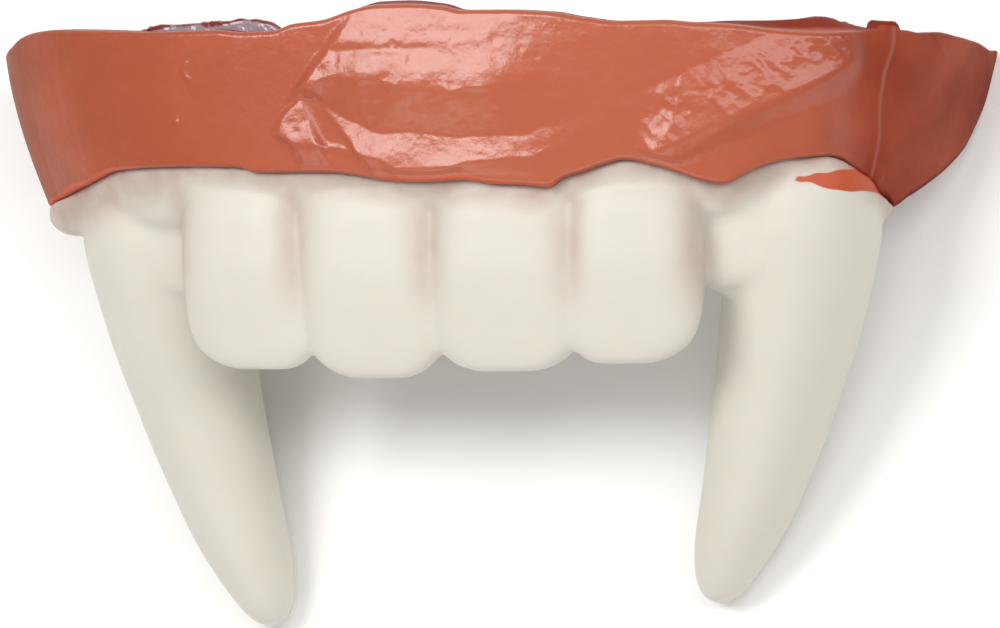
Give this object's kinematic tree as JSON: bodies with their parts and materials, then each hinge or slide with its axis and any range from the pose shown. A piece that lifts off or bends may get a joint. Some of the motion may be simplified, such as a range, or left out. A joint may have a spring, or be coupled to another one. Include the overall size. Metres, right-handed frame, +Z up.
{
  "type": "vampire fang denture",
  "caption": "Slip-over upper set of costume teeth: four incisors and two long fangs in ivory acrylic under a terracotta gum flange.",
  "frame": {"origin": "bottom centre of the box of the denture as it lies on its back, on the wings' ends and the backs of the fangs", "axes": "+X to the viewer's right, +Z up and out of the teeth's front, +Y towards the gum's rim; the wearer's up leans 12.5 degrees above +Y"},
  "size_m": [0.0644, 0.0366, 0.0224],
  "materials": {
    "gum": "semi-gloss painted acrylic",
    "teeth": "satin cast acrylic",
    "liner": "glossy soft resin"
  },
  "bodies": {
    "root": {"gum_flange": "gum", "tooth_casting": "teeth", "fitting_liner": "liner"}
  },
  "joints": []
}
